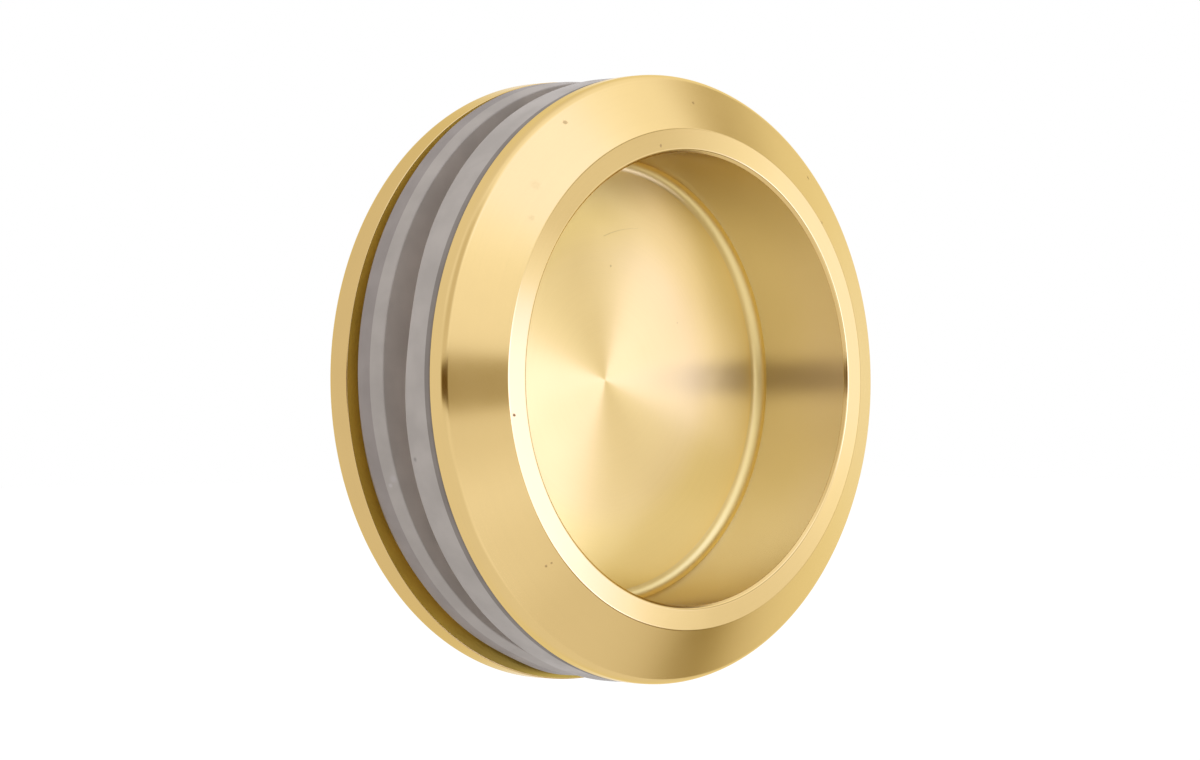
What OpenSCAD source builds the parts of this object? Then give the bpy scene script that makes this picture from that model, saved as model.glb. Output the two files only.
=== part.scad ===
// Round double-sided finger pull for a glass sliding door.
// Two turned brass cups screw into each other through a hole in the glass.
// A soft gasket lies under each flange, and a thin sleeve lines the hole.
// Origin: on the axis, in the middle of the glass. The front cup faces -Y, and +Z is up.

/* [Glass] */
// Thickness of the glass held between the gaskets
glass_t = 4.2; // [3:0.1:12]

/* [Flanges] */
// Width of the bevel from the rim to the flange's edge
bevel_w = 5.9; // [4:0.1:10]
// Thickness of the front flange at its cylindrical edge
front_edge_t = 1.8; // [1.2:0.1:4]
// Thickness of the rear flange at its cylindrical edge
rear_edge_t = 2.8; // [1.2:0.1:4]
// Height of the bevel between the edge and the rim
bevel_h = 3.7; // [2:0.1:6]
// Rounding between the cylindrical edge and the bevel
shoulder_r = 1.3; // [0.4:0.1:2]
// Edge break on the inner corner of each flange
edge_break = 0.3; // [0.1:0.05:0.5]

/* [Rims] */
// Width of the flat rim round the finger bore
rim_w = 2.35; // [1.5:0.05:4]
// Rise of the rim from its outer edge to the finger bore
rim_rise = 0.2; // [0:0.05:0.6]
// Rounding of the rim's outer edge
rim_edge_r = 0.25; // [0.1:0.05:0.6]
// Rounding of the bore's mouth
mouth_r = 0.25; // [0.1:0.05:0.6]

/* [Cups] */
// Diameter of the finger bore in both cups
bore_d = 48.5; // [40:0.5:50]
// Depth of the front cup, from its rim to its floor
cup_depth = 13.3; // [9:0.1:15]
// Thickness of each cup's floor
floor_t = 1.2; // [0.8:0.1:2]
// Fillet between the bore wall and the floor
floor_fillet_r = 0.9; // [0.3:0.1:2]

/* [Barrels] */
// Wall of the front cup's barrel, which carries the outer thread
barrel_wall = 1.05; // [0.8:0.05:1.6]
// Wall of the rear cup's skirt, which carries the inner thread
skirt_wall = 1.05; // [0.8:0.05:1.6]
// Radial clearance between barrel and skirt
thread_play = 0.05; // [0.02:0.01:0.15]
// Gap between the skirt's end and the front flange
skirt_gap = 1.4; // [0.5:0.1:3]
// Gap between the front barrel's end and the rear cup's floor
end_gap = 0.6; // [0.3:0.1:2]
// Depth of the relief grooves where the threads run out
relief_depth = 0.3; // [0.1:0.05:0.4]
// Width of the relief grooves
relief_w = 1.2; // [0.6:0.1:2]
// Lead-in chamfer at the start of each thread
lead_in = 0.4; // [0.2:0.05:0.6]

/* [Gaskets] */
// Thickness of the front gasket
front_gasket_t = 4.1; // [1.5:0.1:6]
// How far the front gasket's edge lies inside the flange's edge
front_gasket_inset = 0.1; // [0:0.05:2]
// Rounding of the front gasket's outer corners
gasket_corner_r = 0.6; // [0.1:0.05:0.8]
// Thickness of the rear gasket
rear_gasket_t = 4.5; // [3.8:0.1:7]
// How far the rear gasket's widest part lies inside the flange's edge
rear_gasket_inset = 0.45; // [0:0.05:2]
// Height of the rear gasket's tapered foot
foot_h = 1.3; // [0.4:0.1:1.6]
// How far the foot tapers in where it meets the flange
foot_taper = 0.8; // [0.2:0.1:2]
// Height of the ridge above the flange
ridge_h = 3.1; // [1.8:0.1:3.4]
// Fall of the outer face from the ridge to the glass
ridge_fall = 0.45; // [0.1:0.05:0.8]
// Radial clearance between the gaskets and the skirt
gasket_play = 0.05; // [0.02:0.01:0.3]
// How far the rear gasket has slipped upwards on the skirt
gasket_lift = 0.7; // [0:0.05:1]

/* [Sleeve] */
// Wall of the sleeve in the glass
sleeve_wall = 0.8; // [0.5:0.05:1.5]
// Radial clearance between sleeve and skirt
sleeve_play = 0.1; // [0.05:0.05:0.3]
// Gap between the sleeve's ends and the gaskets
sleeve_end_gap = 0.1; // [0.05:0.05:0.5]

/* [Hidden] */
$fn = 96;
corner_steps = 6;
// Largest share of a side that one rounding may take up
corner_share = 0.45;

brass = [0.83, 0.68, 0.40];
soft_grey = [0.60, 0.57, 0.55];

bore_r = bore_d / 2;
rim_r = bore_r + rim_w;
flange_r = rim_r + bevel_w;

// Radii from the finger bore outwards
barrel_r = bore_r + barrel_wall;
skirt_bore_r = barrel_r + thread_play;
skirt_r = skirt_bore_r + skirt_wall;
sleeve_bore_r = skirt_r + sleeve_play;
sleeve_r = sleeve_bore_r + sleeve_wall;

// Distances of the flanges' inner faces from the middle of the glass
front_seat = glass_t / 2 + front_gasket_t;
rear_seat = glass_t / 2 + rear_gasket_t;

// Rim, floor and barrel of the front cup, measured outwards from its flange's inner face
front_rim_h = front_edge_t + bevel_h + rim_rise;
front_floor_h = front_rim_h - cup_depth;
barrel_end_h = front_floor_h - floor_t;

// Rim, floor and skirt of the rear cup, measured outwards from its flange's inner face
rear_rim_h = rear_edge_t + bevel_h + rim_rise;
rear_web_h = end_gap - barrel_end_h - front_seat - rear_seat;
rear_floor_h = rear_web_h + floor_t;
skirt_end_h = skirt_gap - front_seat - rear_seat;

// Points of an arc of radius r that rounds the corner b between its neighbours a and c
function round_corner(a, b, c, r) =
    let (
        side = corner_share * min(norm(a - b), norm(c - b)),
        u = (a - b) / norm(a - b),
        v = (c - b) / norm(c - b),
        half = acos(u * v) / 2,
        tangent = min(r / tan(half), side),
        radius = tangent * tan(half),
        centre = b + (u + v) / norm(u + v) * radius / sin(half),
        from = b + u * tangent - centre,
        to = b + v * tangent - centre,
        start = atan2(from.y, from.x),
        sweep = (atan2(to.y, to.x) - start + 900) % 360 - 180
    )
    [for (i = [0 : corner_steps])
        centre + radius * [cos(start + sweep * i / corner_steps), sin(start + sweep * i / corner_steps)]];

// Closed outline from a list of [radius, height, rounding] corners
function outline(path) =
    let (last = len(path))
    [for (i = [0 : last - 1])
        let (
            before = path[(i + last - 1) % last],
            here = path[i],
            after = path[(i + 1) % last]
        )
        each here[2] > 0
            ? round_corner([before.x, before.y], [here.x, here.y], [after.x, after.y], here[2])
            : [[here.x, here.y]]];

// Outer form of a cup: floor, bore, rim, bevel and edge, down to the flange's inner face
function dish(edge_t, rim_h, floor_h) = [
    [0, floor_h, 0],
    [bore_r, floor_h, floor_fillet_r],
    [bore_r, rim_h, mouth_r],
    [rim_r, rim_h - rim_rise, rim_edge_r],
    [flange_r, edge_t, shoulder_r],
    [flange_r, edge_break, 0],
    [flange_r - edge_break, 0, 0]
];

// Barrel with an outer thread, its run-out groove at the flange and a lead-in at its end
function barrel(end_h) = [
    [barrel_r - relief_depth, 0, 0],
    [barrel_r - relief_depth, -relief_w, 0],
    [barrel_r, -relief_w - relief_depth, 0],
    [barrel_r, end_h + lead_in, 0],
    [barrel_r - lead_in, end_h, 0],
    [0, end_h, 0]
];

// Skirt with an inner thread, a lead-in at its mouth and a run-out groove at the floor
function skirt(end_h, web_h) = [
    [skirt_r, 0, 0],
    [skirt_r, end_h + lead_in, 0],
    [skirt_r - lead_in / 2, end_h, 0],
    [skirt_bore_r + lead_in / 2, end_h, 0],
    [skirt_bore_r, end_h + lead_in, 0],
    [skirt_bore_r, web_h - relief_w - relief_depth, 0],
    [skirt_bore_r + relief_depth, web_h - relief_w, 0],
    [skirt_bore_r + relief_depth, web_h, 0],
    [0, web_h, 0]
];

// Turns an outline about the axis, with its heights towards the front
module turned_front(path) {
    rotate([90, 0, 0])
        rotate_extrude()
            polygon(outline(path));
}

// Turns an outline about the axis, with its heights towards the rear
module turned_rear(path) {
    rotate([-90, 0, 0])
        rotate_extrude()
            polygon(outline(path));
}

module front_cup() {
    color(brass)
        translate([0, -front_seat, 0])
            turned_front(concat(dish(front_edge_t, front_rim_h, front_floor_h), barrel(barrel_end_h)));
}

module rear_cup() {
    color(brass)
        translate([0, rear_seat, 0])
            turned_rear(concat(dish(rear_edge_t, rear_rim_h, rear_floor_h), skirt(skirt_end_h, rear_web_h)));
}

// Flat ring with rounded outer corners, lying against the front flange
module front_gasket() {
    edge_r = flange_r - front_gasket_inset;
    color(soft_grey)
        translate([0, -glass_t / 2, 0])
            turned_front([
                [skirt_r + gasket_play, 0, 0],
                [edge_r, 0, gasket_corner_r / 3],
                [edge_r, front_gasket_t, gasket_corner_r],
                [skirt_r + gasket_play, front_gasket_t, 0]
            ]);
}

// Thick ring with a tapered foot and a slope from its ridge to the glass, resting off-centre on the skirt
module rear_gasket() {
    ridge_r = flange_r - rear_gasket_inset;
    hole_r = skirt_r + gasket_lift + gasket_play;
    color(soft_grey)
        translate([0, rear_seat, gasket_lift])
            turned_front([
                [hole_r, 0, 0],
                [ridge_r - foot_taper, 0, 0],
                [ridge_r, foot_h, 0],
                [ridge_r, ridge_h, 0],
                [ridge_r - ridge_fall, rear_gasket_t, gasket_corner_r / 3],
                [hole_r, rear_gasket_t, 0]
            ]);
}

// Thin liner round the skirt, as long as the glass is thick
module centre_sleeve() {
    half_l = glass_t / 2 - sleeve_end_gap;
    color(soft_grey)
        turned_front([
            [sleeve_bore_r, -half_l, 0],
            [sleeve_r, -half_l, 0],
            [sleeve_r, half_l, 0],
            [sleeve_bore_r, half_l, 0]
        ]);
}

front_cup();
rear_cup();
front_gasket();
rear_gasket();
centre_sleeve();
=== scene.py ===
"""Round double-sided finger pull for a glass door: its finely turned pieces, their finish and the studio."""

import math

import bpy
from mathutils import Matrix, Vector


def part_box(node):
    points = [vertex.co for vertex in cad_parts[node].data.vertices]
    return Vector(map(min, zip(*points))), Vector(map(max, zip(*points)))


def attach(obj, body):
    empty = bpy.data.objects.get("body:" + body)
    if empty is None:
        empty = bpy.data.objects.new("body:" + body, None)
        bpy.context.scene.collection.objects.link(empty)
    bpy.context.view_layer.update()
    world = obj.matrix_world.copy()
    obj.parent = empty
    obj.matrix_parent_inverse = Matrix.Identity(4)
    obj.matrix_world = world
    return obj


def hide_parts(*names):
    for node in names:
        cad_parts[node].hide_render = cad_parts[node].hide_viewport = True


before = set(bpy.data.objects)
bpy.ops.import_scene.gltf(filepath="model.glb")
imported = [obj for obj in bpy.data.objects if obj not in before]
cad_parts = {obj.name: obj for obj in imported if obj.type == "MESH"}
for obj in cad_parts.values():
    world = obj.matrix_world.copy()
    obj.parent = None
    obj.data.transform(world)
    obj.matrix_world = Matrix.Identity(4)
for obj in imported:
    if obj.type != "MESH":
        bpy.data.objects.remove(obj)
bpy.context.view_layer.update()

MM = 0.001

# Sizes that the frame gives, in mm
_, front_high = (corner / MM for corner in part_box("front_cup"))
rear_low, _ = (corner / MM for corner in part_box("rear_cup"))
front_gasket_low, front_gasket_high = (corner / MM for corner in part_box("front_gasket"))
rear_gasket_low, rear_gasket_high = (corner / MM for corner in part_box("rear_gasket"))
_, sleeve_high = (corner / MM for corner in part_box("centre_sleeve"))
FLANGE_R = front_high.x
FRONT_SEAT = front_gasket_low.y
REAR_SEAT = rear_gasket_high.y
BARREL_END_H = FRONT_SEAT - front_high.y
SKIRT_END_H = rear_low.y - REAR_SEAT

# Sizes of the cups, in mm. The wall of the finger bore lies a little inside the bore's nominal radius,
# and a small bevel leads from it to the rim.
BORE_R = 24.25
WALL_INSET = 0.2
MOUTH_H = 0.36
MOUTH_W = 0.31
MOUTH_R = 0.3
MOUTH_FOOT_R = 0.1
RIM_W = 2.35
RIM_RISE = 0.2
RIM_EDGE_R = 0.4
BEVEL_H = 3.7
FRONT_EDGE_T = 1.8
REAR_EDGE_T = 2.8
SHOULDER_R = 1.3
EDGE_BREAK = 0.12
FLOOR_T = 1.2
FLOOR_FILLET_R = 1.2
WALL = 1.05
THREAD_PLAY = 0.05
RELIEF_DEPTH = 0.3
RELIEF_W = 1.2
LEAD_IN = 0.4
END_GAP = 0.6
RIM_R = BORE_R + RIM_W
BARREL_R = BORE_R + WALL
SKIRT_BORE_R = BARREL_R + THREAD_PLAY
SKIRT_R = SKIRT_BORE_R + WALL

# Sizes of the soft pieces, in mm. The front gasket carries painted shade over the shade width next to its
# flange, and its face stays flat over the flat width round the hole.
GASKET_PLAY = 0.05
GASKET_CORNER_R = 0.6
GASKET_GLASS_R = 0.2
GASKET_FOOT_H = 1.3
GASKET_FOOT_TAPER = 0.8
GASKET_RIDGE_H = 3.1
GASKET_RIDGE_FALL = 0.45
SLEEVE_WALL = 0.8
SOFT_EDGE_R = 0.15
SHADE_W = 0.85
FLAT_W = 2.0

# Fineness of the turned forms, and the largest share of a side that one rounding may take up
TURNS = 360
ARC_STEPS = 12
CORNER_SHARE = 0.45
ON_AXIS = 1e-6


# Turned forms

def arc_stations(before, here, after, radius):
    """(point, normal) pairs along the arc that rounds the corner here between its two neighbours."""
    to_before, to_after = before - here, after - here
    side = CORNER_SHARE * min(to_before.length, to_after.length)
    u, v = to_before.normalized(), to_after.normalized()
    half = u.angle(v) / 2
    tangent = min(radius / math.tan(half), side)
    true_radius = tangent * math.tan(half)
    centre = here + (u + v).normalized() * true_radius / math.sin(half)
    start = here + u * tangent - centre
    turn = math.pi - 2 * half
    left_turn = u.x * v.y - u.y * v.x < 0
    stations = []
    for step in range(ARC_STEPS + 1):
        angle = turn * step / ARC_STEPS * (1 if left_turn else -1)
        c, s = math.cos(angle), math.sin(angle)
        spoke = Vector((start.x * c - start.y * s, start.x * s + start.y * c))
        stations.append((centre + spoke, spoke.normalized() * (-1 if left_turn else 1)))
    return stations


def stations_of(corners, closed):
    """Stations of an outline: [point, normal before it, normal after it, finish after it].
    The outline runs clockwise in (radius, height), so that its outside lies on the left.
    A rounded corner may name a finish of its own after the one that follows it."""
    count = len(corners)
    points = [Vector(corner[:2]) for corner in corners]
    found = []
    for i, (_, _, rounding, finish, *arc_finish) in enumerate(corners):
        here = points[i]
        before = points[i - 1] if closed or i else None
        after = points[(i + 1) % count] if closed or i < count - 1 else None
        if rounding and before is not None and after is not None:
            on_arc = arc_finish[0] if arc_finish else finish
            for point, normal in arc_stations(before, here, after, rounding):
                found.append([point, normal, normal, on_arc])
            found[-1][3] = finish
            continue
        into = (here - before).normalized() if before is not None else None
        out = (after - here).normalized() if after is not None else None
        into, out = into or out, out or into
        found.append([here, Vector((-into.y, into.x)), Vector((-out.y, out.x)), finish])
    return found


def turned(name, corners, seat, side, finishes, closed=False, lift=0.0, shape=None):
    """A piece turned about Y from an outline of (radius, height, rounding, finish) corners in mm.
    Heights run from the seat towards side, which is -1 for the front and 1 for the rear.
    A closed outline makes a ring. Shape, if given, moves each (radius, height) at an angle."""
    stations = stations_of(corners, closed)
    vertices, rings = [], []
    for point, _, _, _ in stations:
        if point.x < ON_AXIS:
            # One vertex stands for the whole ring
            rings.append([len(vertices)] * TURNS)
            vertices.append((0, (seat + side * point.y) * MM, lift * MM))
            continue
        rings.append(list(range(len(vertices), len(vertices) + TURNS)))
        for j in range(TURNS):
            angle = math.tau * j / TURNS
            r, h = shape(point.x, point.y, angle) if shape else (point.x, point.y)
            x, y, z = r * math.cos(angle), seat + side * h, r * math.sin(angle) + lift
            vertices.append((x * MM, y * MM, z * MM))
    faces, normals, slots = [], [], []
    names = list(finishes)
    last = len(stations) if closed else len(stations) - 1
    for i in range(last):
        k = (i + 1) % len(stations)
        for j in range(TURNS):
            m = (j + 1) % TURNS
            face = [(rings[i][j], j, stations[i][2]), (rings[k][j], j, stations[k][1]),
                    (rings[k][m], m, stations[k][1]), (rings[i][m], m, stations[i][2])]
            if side > 0:
                face.reverse()
            # Next to the axis two corners are one vertex, and the face is a triangle
            corner_of = {}
            for vertex, turn, normal in face:
                corner_of.setdefault(vertex, (turn, normal))
            if len(corner_of) < 3:
                continue
            faces.append(list(corner_of))
            slots.append(names.index(stations[i][3]))
            for turn, normal in corner_of.values():
                angle = math.tau * turn / TURNS
                normals.append((normal.x * math.cos(angle), side * normal.y, normal.x * math.sin(angle)))
    mesh = bpy.data.meshes.new(name)
    mesh.from_pydata(vertices, [], faces)
    mesh.polygons.foreach_set("use_smooth", [True] * len(faces))
    mesh.polygons.foreach_set("material_index", slots)
    for finish in names:
        mesh.materials.append(finishes[finish])
    mesh.normals_split_custom_set(normals)
    piece = bpy.data.objects.new(name, mesh)
    bpy.context.scene.collection.objects.link(piece)
    return piece


# Shader nodes

# Share by which a finish is rougher or smoother from place to place
ROUGHNESS_SPREAD = 0.1


class Nodes:
    """Adds nodes to one node tree. Inputs are set or linked by name or place."""

    def __init__(self, tree):
        self.tree = tree
        tree.nodes.clear()

    def add(self, kind, inputs=None, **settings):
        node = self.tree.nodes.new("ShaderNode" + kind)
        for key, value in settings.items():
            setattr(node, key, value)
        for key, value in (inputs or {}).items():
            if isinstance(value, bpy.types.NodeSocket):
                self.tree.links.new(value, node.inputs[key])
            else:
                node.inputs[key].default_value = value
        return node

    def math(self, operation, a, b=0.0, c=0.0):
        return self.add("Math", {0: a, 1: b, 2: c}, operation=operation).outputs[0]

    def fade(self, value, start, end, low, high):
        """Runs smoothly from low to high while value runs from start to end."""
        inputs = {"Value": value, "From Min": start, "From Max": end, "To Min": low, "To Max": high}
        return self.add("MapRange", inputs, interpolation_type="SMOOTHSTEP").outputs[0]

    def mix(self, factor, a, b, blend="MIX"):
        return self.add("Mix", {0: factor, 6: a, 7: b}, data_type="RGBA", blend_type=blend).outputs[2]

    def dim(self, colour, gain):
        """The colour times one gain."""
        grey = self.add("CombineColor", {0: gain, 1: gain, 2: gain}).outputs[0]
        return self.mix(1.0, colour, grey, "MULTIPLY")

    def noise(self, vector, scale, detail=2.0):
        return self.add("TexNoise", {"Vector": vector, "Scale": scale, "Detail": detail}).outputs["Fac"]

    def from_axis(self, position):
        """Vector from the axis to the position, and its length."""
        flat = self.add("VectorMath", {0: position, 1: (1, 0, 1)}, operation="MULTIPLY").outputs[0]
        return flat, self.add("VectorMath", {0: flat}, operation="LENGTH").outputs["Value"]

    def distance(self, position, point):
        return self.add("VectorMath", {0: position, 1: point}, operation="DISTANCE").outputs["Value"]

    def dot(self, a, b):
        return self.add("VectorMath", {0: a, 1: b}, operation="DOT_PRODUCT").outputs["Value"]


def new_material(name):
    material = bpy.data.materials.new(name)
    material.use_nodes = True
    return material, Nodes(material.node_tree)


# Brass

# Marks on the front cup: radius, angle from +X towards +Z in degrees, size in mm, darkness
MARKS = [
    (31.0, 120.5, 0.45, 0.45),
    (29.6, 85.4, 0.34, 0.50),
    (30.4, 46.7, 0.38, 0.50),
    (26.8, 39.7, 0.30, 0.50),
    (25.0, 100.5, 0.28, 0.45),
    (26.15, -171.9, 0.31, 1.0),
    (28.15, -136.9, 0.26, 0.55),
    (27.6, -136.7, 0.20, 0.45),
    (27.9, 143.7, 0.60, 0.10),
    (29.1, 136.6, 1.00, 0.07),
    (12.4, 85.5, 0.22, 0.35),
    (12.8, 29.5, 0.18, 0.20),
]
# Scratches on its floor: radius and angle of the start, the bend and the end, half width in mm,
# darkness at both ends
SCRATCHES = [
    (15.6, 90.3, 16.75, 81.5, 17.3, 72.8, 0.045, 0.26, 0.08),
]
SCRATCH_STEPS = 5
# Scale of the noise that makes a mark's edge ragged, and how far it moves the edge. Marks and scratches
# fade out between two shares of their size or half width.
MARK_GRAIN = 2500.0
MARK_RAGGED = 0.8
MARK_FADE = (0.25, 0.75)
SCRATCH_FADE = (0.3, 1.5)
MARK_ROUGHNESS = 0.3
MARK_COLOUR = (0.20, 0.11, 0.04, 1.0)
# Tints of the brass, and of what it reflects at grazing angles
BRASS = (0.77, 0.56, 0.24, 1.0)
FLOOR_BRASS = (0.87, 0.65, 0.27, 1.0)
# Painted shade: less blue, toning down the lamps' reflection towards the floor's edge
FLOOR_EDGE_PAINTED_SHADE_BRASS = (0.87, 0.65, 0.235, 1.0)
FILLET_BRASS = (0.83, 0.655, 0.29, 1.0)
WALL_BRASS = (0.755, 0.695, 0.60, 1.0)
MOUTH_BRASS = (0.72, 0.515, 0.215, 1.0)
REAR_BRASS = (0.69, 0.49, 0.205, 1.0)
INNER_BRASS = (0.94, 0.65, 0.11, 1.0)
GRAZING_TINT = (0.95, 0.85, 0.55, 1.0)
WALL_GRAZING_TINT = (0.80, 0.70, 0.45, 1.0)
# Radii in mm between which the floor's outer tint takes over, as painted shade that tones down the lamps'
# reflection towards the floor's edge, and heights in mm between which painted shade darkens the flanges'
# inner faces towards the bottom, with the tone that it reaches there
FLOOR_PAINTED_SHADE_RADII = (13.0, 18.0)
INNER_FACE_PAINTED_SHADE = (-25.0, -31.0, 0.45)
# Tone and roughness vary a little with the grooves and with larger blotches
BLOTCH_SCALE = 160.0
GROOVE_SHARE = 0.4
TONE_FADE = (0.25, 0.75)
DARKEST_TONE = 0.96
ROUGH_FADE = (0.2, 0.8)
# Quarter turn, so that the gloss spreads across the grooves
ACROSS_GROOVES = 0.25


def on_front(radius, angle):
    """Point on the front cup's floor, rim or bevel at a radius in mm and an angle in degrees."""
    rim_h = FRONT_EDGE_T + BEVEL_H
    if radius < BORE_R:
        height = BARREL_END_H + FLOOR_T
    elif radius < RIM_R:
        height = rim_h + RIM_RISE * (RIM_R - radius) / RIM_W
    else:
        height = rim_h - BEVEL_H * (radius - RIM_R) / (FLANGE_R - RIM_R)
    a = math.radians(angle)
    return Vector((radius * math.cos(a), FRONT_SEAT - height, radius * math.sin(a))) * MM


def scratch_parts():
    """Short straight parts of each bent scratch: start, end, half width, darkness."""
    parts = []
    for r1, a1, r2, a2, r3, a3, half_width, first, last in SCRATCHES:
        start, bend, end = on_front(r1, a1), on_front(r2, a2), on_front(r3, a3)
        points = []
        for step in range(SCRATCH_STEPS + 1):
            t = step / SCRATCH_STEPS
            points.append(start * (1 - t) ** 2 + bend * 2 * t * (1 - t) + end * t ** 2)
        for step in range(SCRATCH_STEPS):
            darkness = first + (last - first) * step / (SCRATCH_STEPS - 1)
            parts.append((points[step], points[step + 1], half_width, darkness))
    return parts


def mark_mask(n, position):
    """Dark specks and scratches where the front cup is marked, as a factor."""
    ragged = n.noise(position, MARK_GRAIN)
    total = 0.0
    for radius, angle, size, darkness in MARKS:
        away = n.distance(position, on_front(radius, angle))
        sway = MARK_RAGGED * size * MM
        reach = n.math("MULTIPLY_ADD", ragged, -sway, n.math("ADD", away, sway / 2))
        full, gone = (share * size * MM for share in MARK_FADE)
        spot = n.fade(reach, full, gone, darkness, 0.0)
        total = n.math("MAXIMUM", spot, total)
    for start, end, half_width, darkness in scratch_parts():
        way = end - start
        offset = n.add("VectorMath", {0: position, 1: start}, operation="SUBTRACT").outputs[0]
        along = n.add("Clamp", {"Value": n.dot(offset, way / way.length_squared)}).outputs[0]
        nearest = n.add("VectorMath", {0: tuple(way), 3: along}, operation="SCALE").outputs[0]
        away = n.distance(offset, nearest)
        full, gone = (share * half_width * MM for share in SCRATCH_FADE)
        line = n.fade(away, full, gone, darkness, 0.0)
        total = n.math("MAXIMUM", line, total)
    return total


def brass(name, tint, roughness, streak, groove_depth, groove_pitch, marked=False, grazing=GRAZING_TINT,
          lower_painted_shade=None, outer_painted_shade_tint=None):
    """Turned brass. The tool's grooves run round the axis, and streak is how far the gloss spreads
    across them. Their depth and pitch are in mm. Marked brass has the front cup's marks.
    The outer tint, if any, takes over from the tint towards the floor's edge as painted shade that tones
    down the lamps' reflection there. The lower painted shade, if given, darkens the colour towards the
    bottom."""
    material, n = new_material(name)
    position = n.add("TexCoord").outputs["Object"]
    flat, radius = n.from_axis(position)
    spoke = n.add("VectorMath", {0: flat}, operation="NORMALIZE").outputs[0]
    # The grooves are noise that changes fast from track to track and slowly round the axis
    height = n.math("ABSOLUTE", n.add("SeparateXYZ", {0: position}).outputs[1])
    track = n.math("DIVIDE", n.math("SUBTRACT", radius, height), groove_pitch * MM)
    around = n.add("SeparateXYZ", {0: spoke})
    grain = n.add("CombineXYZ", {0: track, 1: around.outputs[0], 2: around.outputs[2]}).outputs[0]
    grooves = n.noise(grain, 1.0, detail=3.0)
    blotches = n.noise(position, BLOTCH_SCALE, detail=3.0)
    mottle = n.math("MULTIPLY_ADD", grooves, GROOVE_SHARE, n.math("MULTIPLY", blotches, 1 - GROOVE_SHARE))
    tone = n.fade(mottle, *TONE_FADE, DARKEST_TONE, 1.0)
    # Painted shade: the outer tint takes over towards the floor's edge
    start, end = (r * MM for r in FLOOR_PAINTED_SHADE_RADII)
    base = n.mix(n.fade(radius, start, end, 0.0, 1.0), tint, outer_painted_shade_tint or tint)
    colour = n.dim(base, tone)
    # Painted shade: the colour grows darker towards the bottom
    if lower_painted_shade:
        top, bottom, lowest_shade_tone = lower_painted_shade
        up = n.add("SeparateXYZ", {0: position}).outputs[2]
        colour = n.dim(colour, n.fade(up, bottom * MM, top * MM, lowest_shade_tone, 1.0))
    smoother, rougher = roughness * (1 - ROUGHNESS_SPREAD), roughness * (1 + ROUGHNESS_SPREAD)
    rough = n.fade(blotches, *ROUGH_FADE, smoother, rougher)
    if marked:
        mask = mark_mask(n, position)
        colour = n.mix(mask, colour, MARK_COLOUR)
        rough = n.math("MULTIPLY_ADD", mask, MARK_ROUGHNESS, rough)
    bump = n.add("Bump", {"Strength": 1.0, "Distance": groove_depth * MM, "Height": grooves}).outputs[0]
    tangent = n.add("Tangent", direction_type="RADIAL", axis="Y").outputs[0]
    shader = n.add("BsdfPrincipled", {
        "Base Color": colour,
        "Metallic": 1.0,
        "Specular Tint": grazing,
        "Roughness": rough,
        "Anisotropic": streak,
        "Anisotropic Rotation": ACROSS_GROOVES,
        "Tangent": tangent,
        "Normal": bump,
    })
    n.add("OutputMaterial", {"Surface": shader.outputs[0]})
    return material


# Finishes by the places that have them: tint, roughness, streak, depth and pitch of the grooves
FRONT_FINISHES = {
    "floor": brass("brass_floor", FLOOR_BRASS, 0.30, 0.97, 0.0003, 0.12, marked=True,
                   outer_painted_shade_tint=FLOOR_EDGE_PAINTED_SHADE_BRASS),
    "wall": brass("brass_wall", WALL_BRASS, 0.22, 0.6, 0.0002, 0.12, grazing=WALL_GRAZING_TINT),
    "fillet": brass("brass_fillet", FILLET_BRASS, 0.35, 0.3, 0.0002, 0.12),
    "mouth": brass("brass_mouth", MOUTH_BRASS, 0.20, 0.3, 0.0002, 0.12),
    "rim": brass("brass_rim", BRASS, 0.10, 0.3, 0.0001, 0.15, marked=True),
    "bevel": brass("brass_bevel", BRASS, 0.16, 0.5, 0.0002, 0.15, marked=True),
    "edge": brass("brass_edge", BRASS, 0.14, 0.3, 0.0002, 0.15),
    # Painted shade darkens the inner faces towards the bottom
    "inner": brass("brass_inner_face", INNER_BRASS, 0.3, 0.5, 0.0004, 0.2, lower_painted_shade=INNER_FACE_PAINTED_SHADE),
    "inside": brass("brass_inside", BRASS, 0.3, 0.5, 0.0004, 0.2),
}
REAR_FINISHES = dict(FRONT_FINISHES, edge=brass("brass_rear_edge", REAR_BRASS, 0.16, 0.3, 0.0002, 0.15))


# Soft plastic

SOFT_GREY = (0.435, 0.385, 0.35, 1.0)
# Painted shade: the foot grey is the skin's plastic darkened where the rear flange shades the rear gasket's
# foot
FOOT_PAINTED_SHADE_GREY = (0.30, 0.255, 0.235, 1.0)
# Painted light: the face grey is the same plastic made paler, for the gaskets' faces seen in the groove
FACE_PAINTED_LIGHT_GREY = (0.455, 0.40, 0.36, 1.0)
# Painted shade: the shade grey stands for the shadow in the front gasket's corner at its flange
PAINTED_SHADE_GREY = (0.235, 0.20, 0.175, 1.0)
DARK_SPECK = (0.17, 0.15, 0.135, 1.0)
PALE_SPECK = (0.54, 0.49, 0.50, 1.0)
PALER_SPECK = (0.60, 0.55, 0.56, 1.0)
# Marks on the soft rings: radius, angle from +X towards +Z in degrees, Y and the ring's lift in mm,
# size in mm, colour, share of that colour
SOFT_MARKS = [
    (32.4, 194.6, -2.7, 0.0, 0.34, DARK_SPECK, 0.6),
    (31.73, 200.2, 2.5, 0.7, 0.60, PALE_SPECK, 0.35),
    (31.89, 201.4, 3.0, 0.7, 0.34, PALER_SPECK, 0.4),
]
SOFT_MARK_CORE = 0.2
# Painted light: the flat faces grow paler from the flange's radius to this one, in mm,
# against the shade deep in the groove
DEEP_R = 28.0
# Scales of the clouds and of the skin's grain, the tone of the darkest clouds, and the grain's depth in mm
CLOUD_SCALE = 220.0
CLOUD_FADE = (0.3, 0.7)
CLOUD_TONE = 0.86
GRAIN_SCALE = 9000.0
GRAIN_DEPTH = 0.01
GRAIN_STRENGTH = 0.25


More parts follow.
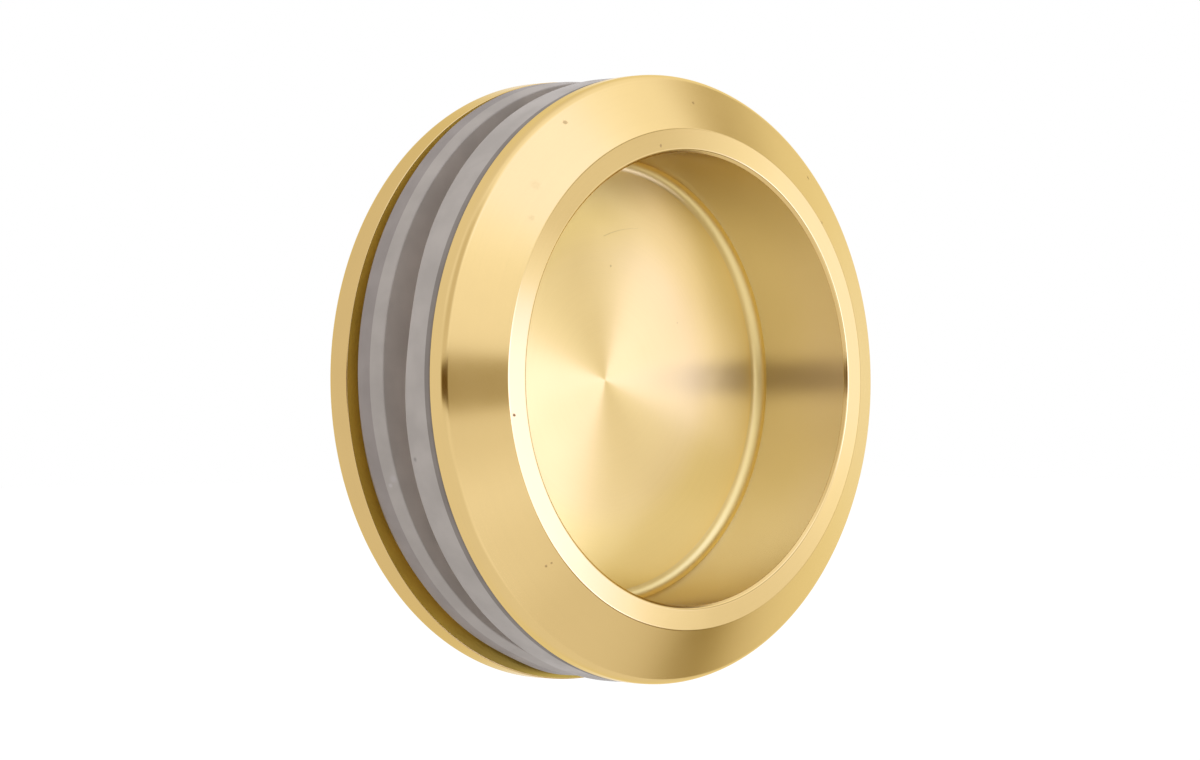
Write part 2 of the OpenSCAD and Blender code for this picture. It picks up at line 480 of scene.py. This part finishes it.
def soft_plastic(name, colour, roughness, deep_painted_light_gain=1.0):
    """Moulded grey plastic with a dull skin, cloudy spots and a few marks. The deep gain is painted light
    that brightens it towards the axis, against the shade deep in the groove."""
    material, n = new_material(name)
    position = n.add("TexCoord").outputs["Object"]
    clouds = n.noise(position, CLOUD_SCALE, detail=3.0)
    grain = n.noise(position, GRAIN_SCALE)
    darker = tuple(CLOUD_TONE * c for c in colour[:3]) + (1.0,)
    base = n.mix(n.fade(clouds, *CLOUD_FADE, 0.0, 1.0), darker, colour)
    # Painted light, brighter towards the axis
    if deep_painted_light_gain != 1.0:
        _, radius = n.from_axis(position)
        base = n.dim(base, n.fade(radius, DEEP_R * MM, FLANGE_R * MM, deep_painted_light_gain, 1.0))
    for mark_r, angle, y, lift, size, mark_colour, share in SOFT_MARKS:
        a = math.radians(angle)
        middle = Vector((mark_r * math.cos(a), y, mark_r * math.sin(a) + lift)) * MM
        away = n.distance(position, middle)
        share_here = n.fade(away, SOFT_MARK_CORE * size * MM, size * MM, share, 0.0)
        base = n.mix(share_here, base, mark_colour)
    smoother, rougher = roughness * (1 - ROUGHNESS_SPREAD), roughness * (1 + ROUGHNESS_SPREAD)
    rough = n.fade(clouds, *CLOUD_FADE, rougher, smoother)
    relief = {"Strength": GRAIN_STRENGTH, "Distance": GRAIN_DEPTH * MM, "Height": grain}
    bump = n.add("Bump", relief).outputs[0]
    shader = n.add("BsdfPrincipled", {"Base Color": base, "Roughness": rough, "Normal": bump})
    n.add("OutputMaterial", {"Surface": shader.outputs[0]})
    return material


SOFT_FINISHES = {
    "skin": soft_plastic("soft_grey_skin", SOFT_GREY, 0.45),
    # Painted shade on the rear gasket's foot beside its flange
    "foot": soft_plastic("soft_grey_foot_painted_shade", FOOT_PAINTED_SHADE_GREY, 0.5),
    # Painted light on the gaskets' faces, paler still towards the axis
    "face": soft_plastic("soft_grey_face_painted_light", FACE_PAINTED_LIGHT_GREY, 0.5, deep_painted_light_gain=1.3),
    # Painted shade in the front gasket's corner at its flange
    "shade": soft_plastic("soft_grey_painted_shade", PAINTED_SHADE_GREY, 0.6),
}


# Pieces

def dish(edge_t, floor_h):
    """Outer outline of a cup, from the middle of its floor to its flange's inner face."""
    rim_h = edge_t + BEVEL_H + RIM_RISE
    wall_r = BORE_R - WALL_INSET
    return [
        (0, floor_h, 0, "floor"),
        (wall_r, floor_h, FLOOR_FILLET_R, "wall", "fillet"),
        (wall_r, rim_h - MOUTH_H, MOUTH_FOOT_R, "mouth"),
        (wall_r + MOUTH_W, rim_h, MOUTH_R, "rim"),
        (RIM_R, rim_h - RIM_RISE, RIM_EDGE_R, "bevel"),
        (FLANGE_R, edge_t, SHOULDER_R, "edge"),
        (FLANGE_R, 0, EDGE_BREAK, "inner", "edge"),
    ]


def barrel(end_h):
    """Outline of the front cup's barrel with its run-out groove and lead-in, down to the axis."""
    return [
        (BARREL_R - RELIEF_DEPTH, 0, 0, "inside"),
        (BARREL_R - RELIEF_DEPTH, -RELIEF_W, 0, "inside"),
        (BARREL_R, -RELIEF_W - RELIEF_DEPTH, 0, "inside"),
        (BARREL_R, end_h + LEAD_IN, 0, "inside"),
        (BARREL_R - LEAD_IN, end_h, 0, "inside"),
        (0, end_h, 0, "inside"),
    ]


def skirt(end_h, web_h):
    """Outline of the rear cup's skirt with its lead-in and run-out groove, down to the axis."""
    return [
        (SKIRT_R, 0, 0, "inside"),
        (SKIRT_R, end_h + LEAD_IN, 0, "inside"),
        (SKIRT_R - LEAD_IN / 2, end_h, 0, "inside"),
        (SKIRT_BORE_R + LEAD_IN / 2, end_h, 0, "inside"),
        (SKIRT_BORE_R, end_h + LEAD_IN, 0, "inside"),
        (SKIRT_BORE_R, web_h - RELIEF_W - RELIEF_DEPTH, 0, "inside"),
        (SKIRT_BORE_R + RELIEF_DEPTH, web_h - RELIEF_W, 0, "inside"),
        (SKIRT_BORE_R + RELIEF_DEPTH, web_h, 0, "inside"),
        (0, web_h, 0, "inside"),
    ]


# Waves of the soft rings: how far they reach in mm, then times round, share and phase of each
SOFT_WAVE = 0.01
WAVES = [(3, 1.0, 1), (7, 0.6, 2), (13, 0.4, 5)]
# Where the soft rings are pressed out of shape outside the pressed radius: lowest and highest height
# concerned, angle and half width in degrees, change of radius and of height in mm
PRESSED_R = 29.5
FRONT_PRESSED = [
    (-1.0, 0.6, 120, 28, 0.0, -0.70),
    (-1.0, 0.6, 170, 14, 0.0, 0.50),
    (-1.0, 0.6, 215, 32, 0.0, -0.18),
]
REAR_PRESSED = [
    (-1.0, 0.2, 177, 24, -0.35, 0.0),
    (-1.0, 3.6, 85, 18, -0.50, 0.0),
    (4.0, 4.6, 85, 18, -0.15, 0.0),
    (4.0, 4.6, 185, 30, -0.20, 0.0),
    (-1.0, 4.6, 262, 9, 0.45, 0.0),
    (-1.0, 4.6, 278, 14, 0.60, 0.0),
]


def soft_shape(seed, pressed):
    """Slight waves and pressed places of a soft ring. The seed shifts the waves."""
    def shape(r, h, angle):
        wave = sum(share * math.sin(times * angle + phase * seed) for times, share, phase in WAVES)
        new_r, new_h = r + SOFT_WAVE * wave, h
        if r < PRESSED_R:
            return new_r, new_h
        for lowest, highest, middle, half_width, dr, dh in pressed:
            if lowest <= h <= highest:
                away = (math.degrees(angle) - middle + 180) % 360 - 180
                share = math.exp(-(away / half_width) ** 2)
                new_r += dr * share
                new_h += dh * share
        return new_r, new_h
    return shape


def make_front_cup():
    """Front cup and its barrel, turned in one."""
    outline = dish(FRONT_EDGE_T, BARREL_END_H + FLOOR_T) + barrel(BARREL_END_H)
    return turned("front_cup_turned", outline, FRONT_SEAT, -1, FRONT_FINISHES)


def make_rear_cup():
    """Rear cup and its skirt, turned in one."""
    web_h = front_high.y + END_GAP - REAR_SEAT
    outline = dish(REAR_EDGE_T, web_h + FLOOR_T) + skirt(SKIRT_END_H, web_h)
    return turned("rear_cup_turned", outline, REAR_SEAT, 1, REAR_FINISHES)


def make_front_gasket():
    """Ring with a rounded corner at the front flange, which it lies against."""
    edge_r = front_gasket_high.x
    height = front_gasket_high.y - front_gasket_low.y
    hole_r = SKIRT_R + GASKET_PLAY
    outline = [
        # The shade finish is painted shade: on the face against the flange, its rounded corner and the band
        # beside it
        (hole_r, height, SOFT_EDGE_R, "shade"),
        (edge_r, height, GASKET_CORNER_R, "shade"),
        (edge_r, height - SHADE_W, 0, "skin"),
        (edge_r, 0, GASKET_GLASS_R, "face"),
        (hole_r + FLAT_W, 0, 0, "face"),
        (hole_r, 0, SOFT_EDGE_R, "skin"),
    ]
    return turned("front_gasket_ring", outline, front_gasket_high.y, -1, SOFT_FINISHES, closed=True,
                  shape=soft_shape(seed=1.0, pressed=FRONT_PRESSED))


def make_rear_gasket():
    """Thick ring with a tapered foot, a ridge and a slope to the glass. It has slipped upwards."""
    ridge_r = rear_gasket_high.x
    lift = (rear_gasket_low.z + rear_gasket_high.z) / 2
    height = rear_gasket_high.y - rear_gasket_low.y
    hole_r = SKIRT_R + lift + GASKET_PLAY
    outline = [
        # The face finish is painted light, on the face towards the glass
        (hole_r, height, SOFT_EDGE_R, "face"),
        (ridge_r - GASKET_RIDGE_FALL, height, GASKET_GLASS_R, "skin"),
        # The foot finish is painted shade, from the ridge back to the flange
        (ridge_r, GASKET_RIDGE_H, SOFT_EDGE_R, "foot"),
        (ridge_r, GASKET_FOOT_H, SOFT_EDGE_R, "foot"),
        (ridge_r - GASKET_FOOT_TAPER, 0, 0, "skin"),
        (hole_r, 0, SOFT_EDGE_R, "skin"),
    ]
    return turned("rear_gasket_ring", outline, REAR_SEAT, -1, SOFT_FINISHES, closed=True, lift=lift,
                  shape=soft_shape(seed=2.0, pressed=REAR_PRESSED))


def make_sleeve():
    """Thin liner of the hole in the glass."""
    sleeve_r = sleeve_high.x
    bore_r = sleeve_r - SLEEVE_WALL
    half_l = sleeve_high.y
    outline = [
        (bore_r, half_l, 0, "skin"),
        (sleeve_r, half_l, SOFT_EDGE_R, "skin"),
        (sleeve_r, -half_l, SOFT_EDGE_R, "skin"),
        (bore_r, -half_l, 0, "skin"),
    ]
    return turned("centre_sleeve_ring", outline, 0.0, -1, SOFT_FINISHES, closed=True)


PIECES = [
    (make_front_cup, "front_cup", "brass"),
    (make_rear_cup, "rear_cup", "brass"),
    (make_front_gasket, "front_gasket", "soft_grey"),
    (make_rear_gasket, "rear_gasket", "soft_grey"),
    (make_sleeve, "centre_sleeve", "soft_grey"),
]
for make, node_name, slot_name in PIECES:
    piece = make()
    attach(piece, "root")
    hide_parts(node_name)


# Studio

# What metal reflects: levels painted in order over the tent's own. Directions are seen from the object.
# Each has a name, azimuth from -Y towards +X, elevation towards +Z, half width, half height and roll
# in degrees, softness of its edge as a share, and level.
TENT_LEVEL = 0.96
REFLECTIONS = [
    ("sky", 10, 52, 52, 40, 0, 0.3, 1.24),
    ("upper_panel", 0, 48, 30, 17, 0, 0.5, 1.48),
    ("right_glow", 118, 0, 22, 30, 0, 0.6, 1.14),
    ("low_fill", -14, -33, 18, 14, 0, 0.5, 1.14),
    ("dim_right", 64, -11, 37, 30, 0, 0.3, 0.98),
    ("upper_gap", 80, 30, 10, 10, 0, 0.7, 0.65),
    ("lower_gap", 43, -37, 31, 8, 0, 0.5, 0.12),
    ("rim_gap", 77, 0, 8, 22, 0, 0.5, 0.70),
    ("lamp_gap", 36, 23, 14, 9, 0, 0.5, 0.47),
    ("key_lamp", 18, -1, 17, 8.5, -25, 0.5, 2.85),
    ("lower_lamp", 32.5, -15, 8, 7, -30, 0.5, 3.3),
    ("lamp_skirt", 39, -2, 8, 4.5, -30, 0.6, 1.8),
    ("side_lamp", 60, 5, 11, 11, 0, 0.5, 1.45),
    ("left_gap", -62, 32, 20, 24, 0, 0.5, 0.80),
    ("camera_gap", -52, -0.5, 32, 6.0, 0, 0.32, 0.02),
]
# Colour of each level: dim parts are warm and bright ones cool
LEVEL_COLOURS = [
    (0.0, (0.12, 0.06, 0.0)),
    (0.21, (0.275, 0.21, 0.066)),
    (0.28, (0.35, 0.284, 0.13)),
    (0.55, (0.60, 0.545, 0.407)),
    (0.80, (0.84, 0.805, 0.742)),
    (0.98, (0.987, 0.975, 0.979)),
    (1.14, (1.13, 1.14, 1.22)),
    (1.32, (1.286, 1.32, 1.43)),
    (1.42, (1.36, 1.44, 1.72)),
    (1.56, (1.45, 1.60, 2.55)),
    (1.76, (1.65, 1.80, 3.0)),
    (3.10, (2.9, 3.02, 5.3)),
]
# The colour ramp holds levels and colours as shares of these
TOP_LEVEL = 3.5
TOP_COLOUR = 7.0
SOFT_LIGHT = (0.98, 0.99, 1.0, 1.0)
WHITE = (1.0, 1.0, 1.0, 1.0)


def direction(azimuth, elevation):
    """Unit vector of a direction in degrees."""
    a, e = math.radians(azimuth), math.radians(elevation)
    return Vector((math.sin(a) * math.cos(e), -math.cos(a) * math.cos(e), math.sin(e)))


def reflection_mask(n, ray, azimuth, elevation, half_width, half_height, roll, softness):
    """1 inside a soft-edged rectangle on the sphere of directions, 0 outside."""
    middle = direction(azimuth, elevation)
    across, up = direction(azimuth + 90, 0), direction(azimuth, elevation + 90)
    turn = math.radians(roll)
    wide = across * math.cos(turn) + up * math.sin(turn)
    high = up * math.cos(turn) - across * math.sin(turn)
    masks = [n.math("GREATER_THAN", n.dot(ray, middle))]
    for axis, half in ((wide, half_width), (high, half_height)):
        share = n.math("DIVIDE", n.math("ABSOLUTE", n.dot(ray, axis)), math.sin(math.radians(half)))
        masks.append(n.fade(share, 1 - softness, 1 + softness, 1.0, 0.0))
    return n.math("MULTIPLY", n.math("MULTIPLY", masks[0], masks[1]), masks[2])


def make_world():
    """Painted levels for what metal reflects, even light for all else, and white behind the object."""
    world = bpy.data.worlds.new("studio")
    world.use_nodes = True
    world.cycles.sampling_method = "NONE"
    bpy.context.scene.world = world
    n = Nodes(world.node_tree)
    ray = n.add("TexCoord").outputs["Generated"]
    level = TENT_LEVEL
    for _, *place, painted in REFLECTIONS:
        mask = reflection_mask(n, ray, *place)
        level = n.add("Mix", {0: mask, 2: level, 3: painted}).outputs[0]
    ramp = n.add("ValToRGB", {0: n.math("DIVIDE", level, TOP_LEVEL)})
    elements = ramp.color_ramp.elements
    while len(elements) < len(LEVEL_COLOURS):
        elements.new(1.0)
    for element, (stop, colour) in zip(elements, LEVEL_COLOURS):
        element.position = stop / TOP_LEVEL
        element.color = tuple(c / TOP_COLOUR for c in colour) + (1.0,)
    tone = ramp.outputs[0]
    path = n.add("LightPath").outputs
    mirrored = n.math("MAXIMUM", path["Is Glossy Ray"], path["Is Transmission Ray"])
    reflected = n.add("Background", {"Color": tone, "Strength": TOP_COLOUR}).outputs[0]
    soft = n.add("Background", {"Color": SOFT_LIGHT, "Strength": 1.0}).outputs[0]
    white = n.add("Background", {"Color": WHITE, "Strength": 1.0}).outputs[0]
    lit = n.add("MixShader", {0: mirrored, 1: soft, 2: reflected}).outputs[0]
    seen = n.add("MixShader", {0: path["Is Camera Ray"], 1: lit, 2: white}).outputs[0]
    n.add("OutputWorld", {"Surface": seen})


# Height and half width of the floor in mm
FLOOR_Z = -100.0
FLOOR_HALF = 4000.0
FLOOR_TONE = (0.8, 0.8, 0.8, 1.0)
FLOOR_GLOW = 0.26


def make_floor():
    """A pale floor well below the object, white where no shadow falls."""
    material, n = new_material("pale_floor")
    path = n.add("LightPath").outputs
    mirrored = n.math("MAXIMUM", path["Is Glossy Ray"], path["Is Transmission Ray"])
    seen = n.math("MAXIMUM", path["Is Camera Ray"], mirrored)
    matt = n.add("BsdfDiffuse", {"Color": FLOOR_TONE}).outputs[0]
    glow = n.add("Emission", {"Color": WHITE, "Strength": n.math("MULTIPLY", seen, FLOOR_GLOW)}).outputs[0]
    n.add("OutputMaterial", {"Surface": n.add("AddShader", {0: matt, 1: glow}).outputs[0]})
    mesh = bpy.data.meshes.new("floor")
    sides = [(-1, -1), (1, -1), (1, 1), (-1, 1)]
    corners = [Vector((x * FLOOR_HALF, y * FLOOR_HALF, FLOOR_Z)) * MM for x, y in sides]
    mesh.from_pydata(corners, [], [(0, 1, 2, 3)])
    mesh.materials.append(material)
    floor = bpy.data.objects.new("floor", mesh)
    floor.visible_glossy = False
    bpy.context.scene.collection.objects.link(floor)


# Camera

# Turn and tilt in degrees, then distance, target, lens and sensor in mm
CAMERA_TURN = 44.33
CAMERA_TILT = 0.48
CAMERA_DISTANCE = 464.4
CAMERA_TARGET = Vector((-4.95, -2.86, -0.02))
LENS = 130.6
SENSOR = 36.0


def make_camera():
    """The camera that took the photo, placed by the ellipses of flange, rim and floor."""
    camera = bpy.data.cameras.new("camera")
    camera.sensor_fit = "HORIZONTAL"
    camera.sensor_width = SENSOR
    camera.lens = LENS
    stand = bpy.data.objects.new("camera", camera)
    turn = (Matrix.Rotation(math.radians(CAMERA_TILT), 4, "X")
            @ Matrix.Rotation(math.radians(-CAMERA_TURN), 4, "Z")
            @ Matrix.Rotation(math.radians(90), 4, "X"))
    back = turn.to_3x3() @ Vector((0, 0, 1))
    stand.matrix_world = Matrix.Translation((CAMERA_TARGET + back * CAMERA_DISTANCE) * MM) @ turn
    bpy.context.scene.collection.objects.link(stand)
    bpy.context.scene.camera = stand


make_world()
make_floor()
make_camera()
bpy.context.scene.view_settings.view_transform = "Standard"
